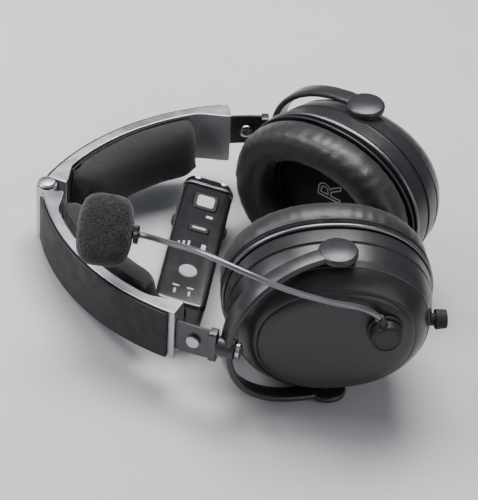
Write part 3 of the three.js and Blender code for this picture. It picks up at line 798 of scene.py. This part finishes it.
def boom():
    start = knob_centre()
    bends = [(161, -78.5, 28.5), (146, -86, 36.5), (127, -91.5, 45)]
    bends += [(107, -92.5, 53), (87, -84.5, 54), (69, -70.5, 46)]
    points = [start, start + Vector((-2.5, -0.6, 9)), *[Vector(p) for p in bends]]
    points += [MIC + Vector((20, -2, 1)), MIC + Vector((13.9, 0, 0))]
    path = centripetal(points)
    tube("boom_rod", path[4:], 1.4, BOOM_METAL, LYING, "boom", "gunmetal", ["boom_wire"], 20)
    place = out_of_cup(-1, KNOB[0], KNOB[1])
    profile = [(0.1, 37.6), (7, 37.6), (7.4, 38), (7.4, 42.6), (7, 43.2), (6, 43.6), (5.6, 43.1), (0.1, 43.1)]
    knob = build("swivel_knob", *turned(profile, 64), BLACK, place, "boom", "black_plastic",
                 ["boom_knob"], 0, 30)
    sleeve = path[8:16]
    tube("boom_collar", sleeve, 2.1, BLACK, LYING, "boom", "black_plastic")
    base = [(0.1, 29), (4, 29), (4, 35.3), (8.2, 35.3), (8.5, 35.6), (8.5, 36.9), (8.1, 37.3), (0.1, 37.3)]
    build("swivel_base", *turned(base, 48), BLACK, place, "cup_left", "black_plastic", ["boom_base"], 0, 30)
    gland = [(2.2, 42), (3, 42), (3, 47.8), (4.6, 47.8), (4.8, 48.1), (4.4, 53), (4.1, 53.2), (2.2, 53.2)]
    along = cup_place(-1) @ Matrix.Rotation(math.pi / 2, 4, "Y")
    build("left_inlet", *turned(gland, 40, True), RUBBER, along, "cup_left", "black_plastic",
          ["cable_inlet_left_cup"], 0, 30)
    microphone()
    return knob


def microphone():
    place = LYING @ Matrix.Translation(MIC) @ Matrix.Rotation(math.radians(-39), 4, "X")
    rings = []
    for i in range(33):
        lat = math.radians(-90 + 180 * i / 32)
        size = max(0.12, abs(math.cos(lat)) ** 0.5)
        height = 16.5 * math.copysign(abs(math.sin(lat)) ** 0.85, math.sin(lat))
        section = rounded(26 * size, 19 * size, 8.5 * size, 10)
        rings.append([(x, y, height) for x, y in section])
    verts, faces = skin(rings)
    foam = build("foam_windscreen", verts, faces, FOAM, place, "microphone", "foam",
                 ["mic_windscreen"], 0, 60)
    detail = foam.modifiers.new("detail", "SUBSURF")
    detail.levels = detail.render_levels = 2
    bake(foam)
    crease(foam, 0.00045, 60, 2)
    crease(foam, 0.0002, 320, 7)
    cut(foam, *turned([(3.2, 0), (3.2, 20)]), place @ Matrix.Rotation(math.pi / 2, 4, "Y"))
    foam.data.shade_smooth()
    across = place @ Matrix.Rotation(math.pi / 2, 4, "Y")
    repaint("mic_body", BLACK)
    clamp = [(0.1, 7.4), (2.2, 7.4), (2.2, 13), (2, 13.2), (0.1, 13.2)]
    build("mic_clamp", *turned(clamp, 32), BLACK, across, "microphone", "black_plastic",
          ["mic_bracket"], 0, 30)
    ring = []
    for j in range(60):
        angle = 2 * math.pi * j / 60
        lobe = 0.45 * math.cos(5 * angle)
        ring.append((4.15 + lobe, angle))
    outline = [(r * math.cos(a), r * math.sin(a)) for r, a in ring]
    star = build("foam_clip", *prism(outline, 13.4, 15.4), BLACK, across, "microphone", "black_plastic",
                 ["windscreen_ring"], 0.3)
    cut(star, *turned([(2.6, 12), (2.6, 17)]), across)


# ---- Control module ----

def module():
    low, high = MODULE_Y
    width, height = MODULE_SIZE
    middle = (low + high) / 2
    length = high - low
    shifted = ON_FLOOR @ Matrix.Translation((0, middle, 0))
    front = build("module_front", *case_skin(width, length, 11.15, height, True), GLOSS, shifted, "module",
                  "black_plastic", ["case_front"], 0, 35)
    holes = [(prism(rounded(12.6, 12.6, 2), 20, 30), (0, LINK_Y, 0)),
             (prism(rounded(10.6, 5.6, 1.5), 20, 30), (0, MODE_Y, 0)),
             (turned([(4.8, 20), (4.8, 30)]), (0, POWER_Y, 0))]
    for shape, spot in holes:
        cut(front, *shape, ON_FLOOR @ Matrix.Translation(spot))
    cut(front, *prism(rounded(40, 13.4, 1), 15.3, 19.3), ON_FLOOR @ Matrix.Translation((0, 16, 0)))
    end = ON_FLOOR @ Matrix.Translation((0, 0, 16)) @ Matrix.Rotation(math.pi / 2, 4, "X")
    cut(front, *turned([(3.3, 40), (3.3, 60)]), end)
    build("module_back", *case_skin(width, length, 0, 10.85, False), BLACK, shifted, "module",
          "black_plastic", ["case_back"], 0, 35)
    for node in ("battery_1", "battery_2"):
        repaint(node, STEEL)
    repaint("circuit_board", BOARD)
    repaint("battery_door", BLACK)
    keys(height)
    wheels()
    end_fittings(height, low, high)


def case_skin(width, length, low, high, top):
    """One half of the case as an open tray: rounded outer edges, even wall."""
    soft = 2.2
    outer = []
    for i in range(7):
        angle = math.radians(90 * i / 6)
        shrink, rise = soft * (1 - math.cos(angle)), soft * (1 - math.sin(angle))
        outer.append((shrink, high - rise if top else low + rise))
    rim = low if top else high
    inner = (high - 1.8) if top else (low + 1.8)
    profile = [(1.8, inner), (1.8, rim), (0.3, rim), (0, rim + (0.3 if top else -0.3)), *outer]
    rings = []
    for inset, z in profile:
        outline = rounded(width - 2 * inset, length - 2 * inset, max(0.6, 4 - inset * 0.8), 6)
        rings.append([(x, y, z) for x, y in outline])
    return skin(rings)


def keys(height):
    top = height + 0.6
    shapes = (("link", rounded(12, 12, 1.8), LINK_Y), ("mode", rounded(10, 5, 1.3), MODE_Y))
    for name, outline, y in shapes:
        verts, faces = prism(outline, KEY_FOOT, top)
        place = ON_FLOOR @ Matrix.Translation((0, y, 0))
        build(f"{name}_key", verts, faces, RUBBER, place, f"{name}_button", "button_grey",
              [f"{name}_button"], 0.6)
    edge = [(4.5, KEY_FOOT), (4.5, top - 0.5), (4.1, top - 0.1), (3.2, top), (0.1, top - 0.15)]
    place = ON_FLOOR @ Matrix.Translation((0, POWER_Y, 0))
    build("power_key", *turned(edge, 48), KEY, place, "power_button", "button_grey",
          ["power_button"], 0, 30)
    mark("link_mark", 8.4, 8.4, 1.6, (0, LINK_Y, top), "link_button")
    mark("mode_mark", 6.6, 1.5, 0.5, (0, MODE_Y, top), "mode_button")
    face = height + 0.02
    mark("tall_mark", 2.2, 7, 0.5, (4.3, -8, face), "module")
    mark("short_mark", 3.4, 1.8, 0.5, (3.6, 16.5, face), "module")
    for i in range(3):
        mark(f"level_mark_{i}", 1.1, 6.6 - 1.2 * i, 0.4, (-3.0 - 2.4 * i, -7.5 - 0.4 * i, face), "module")
    for i in range(2):
        mark(f"channel_mark_{i}", 3.2, 1.1, 0.4, (-4 + 7 * i, -38, face), "module")
        mark(f"channel_bar_{i}", 1.1, 3.4, 0.4, (-4 + 7 * i, -42, face), "module")


def mark(name, width, length, radius, spot, body):
    verts, faces = prism(rounded(width, length, radius, 4), -0.02, 0.12)
    build(name, verts, faces, PRINT, ON_FLOOR @ Matrix.Translation(spot), body, "button_grey", (), 0.04)


def wheels():
    for side, label in SIDES:
        rings = []
        for z, scale in ((15.7, 0.94), (16.1, 1), (18.5, 1), (18.9, 0.94)):
            ring = []
            for j in range(96):
                angle = 2 * math.pi * j / 96
                r = 6.4 * scale - (0.35 if j % 4 < 2 else 0)
                ring.append((r * math.cos(angle), r * math.sin(angle), z))
            rings.append(ring)
        spot = ON_FLOOR @ Matrix.Translation((side * 7.5, 16, 0))
        build(f"gain_wheel_{label}", *skin(rings), RUBBER, spot, f"volume_{label}", "black_plastic",
              [f"volume_wheel_{label}"], 0, 30)


def end_fittings(height, low, high):
    lengthwise = ON_FLOOR @ Matrix.Translation((0, 0, height / 2)) @ Matrix.Rotation(-math.pi / 2, 4, "X")
    verts, faces = prism(rounded(25.6, height, 4), high + 0.3, high + 2.6)
    band = build("band_of_module", verts, faces, PIPING, lengthwise, "module", "satin_silver",
                 ["end_band"], 0.5)
    cut(band, *turned([(3.3, high - 2), (3.3, high + 10)]), lengthwise)
    rings = []
    for z, inset in ((high + 2.9, 0.0), (high + 5, 0.1), (high + 7, 0.9), (high + 8, 2.1), (high + 8.5, 3.6)):
        outline = rounded(24.6 - 2 * inset, height - 2 * inset, 4.6 - inset * 0.5, 6)
        rings.append([(x, y, z) for x, y in outline])
    cap = build("module_end", *skin(rings), GLOSS, lengthwise, "module", "black_plastic", ["end_cap"], 0, 50)
    cut(cap, *turned([(3.3, high - 2), (3.3, high + 12)]), lengthwise)
    lens = [(0.1, 0.9), (0.9, 0.75), (1.5, 0.4), (1.8, 0), (1.8, -0.8), (0.1, -0.8)]
    for side, label in reversed(SIDES):
        spot = ON_FLOOR @ Matrix.Translation((side * 6.6, high + 5.2, height - 0.6))
        build(f"status_light_{label}", *turned(lens, 28), LENS, spot, "module", "button_grey", (), 0, 50)
    sleeve = [(2.2, 0), (3, 0), (3, 3.4), (4.4, 3.4), (4.6, 3.7), (4.3, 7.7), (4, 8), (2.2, 8)]
    spots = (("near", low + 3.1, 16, math.pi / 2), ("far", high + 5.4, height / 2, -math.pi / 2))
    for name, y, z, turn in spots:
        place = ON_FLOOR @ Matrix.Translation((0, y, z)) @ Matrix.Rotation(turn, 4, "X")
        build(f"module_inlet_{name}", *turned(sleeve, 36, True), RUBBER, place, "module", "black_plastic",
              [f"cable_inlet_module_{name}"], 0, 30)


# ---- Stage ----

def floor():
    mesh = bpy.data.meshes.new("floor")
    size, drop = 4.0, -0.0005
    corners = [(-size, -size, drop), (size, -size, drop), (size, size, drop), (-size, size, drop)]
    mesh.from_pydata(corners, [], [(0, 1, 2, 3)])
    obj = bpy.data.objects.new("floor", mesh)
    n = Nodes("pale_floor", Roughness=0.75)
    n.tint(n.noise(6, 3), grey(0.60, 1.0), grey(0.63, 1.0))
    mesh.materials.append(n.material)
    bpy.context.scene.collection.objects.link(obj)


def area_light(name, spot, aim, size, power, colour=(1, 1, 1)):
    data = bpy.data.lights.new(name, "AREA")
    data.shape = "RECTANGLE"
    data.size, data.size_y = size
    data.energy = power
    data.color = colour
    obj = bpy.data.objects.new(name, data)
    obj.location = spot
    obj.rotation_euler = (Vector(aim) - Vector(spot)).to_track_quat("-Z", "Y").to_euler()
    bpy.context.scene.collection.objects.link(obj)


def lights():
    world = bpy.data.worlds.new("studio")
    world.use_nodes = True
    world.node_tree.nodes["Background"].inputs["Color"].default_value = (0.8, 0.86, 1, 1)
    world.node_tree.nodes["Background"].inputs["Strength"].default_value = 0.22
    bpy.context.scene.world = world
    area_light("overhead", (-0.15, 0.35, 0.95), (0, 0, 0), (0.7, 0.5), 15)
    area_light("window", (-0.9, -0.1, 0.75), (0, 0, 0), (0.6, 0.6), 10, (0.94, 0.97, 1))
    area_light("fill", (0.8, -0.7, 0.6), (0, 0, 0), (0.8, 0.8), 3, (1, 0.98, 0.95))


VIEW_TURN = math.radians(-11.61)
VIEW_PITCH = math.radians(38.58)
VIEW_DISTANCE = 1300
CAMERA_AIM = Vector((95, -9, -4))
CAMERA_LENS = 203


def camera():
    c, s = math.cos(VIEW_TURN), math.sin(VIEW_TURN)
    forward = Vector((s * math.cos(VIEW_PITCH), c * math.cos(VIEW_PITCH), -math.sin(VIEW_PITCH)))
    up = Vector((s * math.sin(VIEW_PITCH), c * math.sin(VIEW_PITCH), math.cos(VIEW_PITCH)))
    eye = -VIEW_DISTANCE * forward
    turn = LYING.to_3x3().normalized()
    aim = (LYING @ CAMERA_AIM) - (LYING @ eye)
    back = -aim.normalized()
    right = (turn @ up).cross(back).normalized()
    upright = back.cross(right)
    data = bpy.data.cameras.new("camera")
    data.sensor_fit = "HORIZONTAL"
    data.lens = CAMERA_LENS
    data.clip_start = 0.05
    data.clip_end = 20
    obj = bpy.data.objects.new("camera", data)
    rotation = Matrix((right, upright, back)).transposed().to_4x4()
    obj.matrix_world = Matrix.Translation(LYING @ eye) @ rotation
    bpy.context.scene.collection.objects.link(obj)
    bpy.context.scene.camera = obj


headband()
for cup_side, cup_label in SIDES:
    slider(cup_side, cup_label)
    yoke(cup_side, cup_label)
    cup(cup_side, cup_label)
boom()
module()
floor()
lights()
camera()
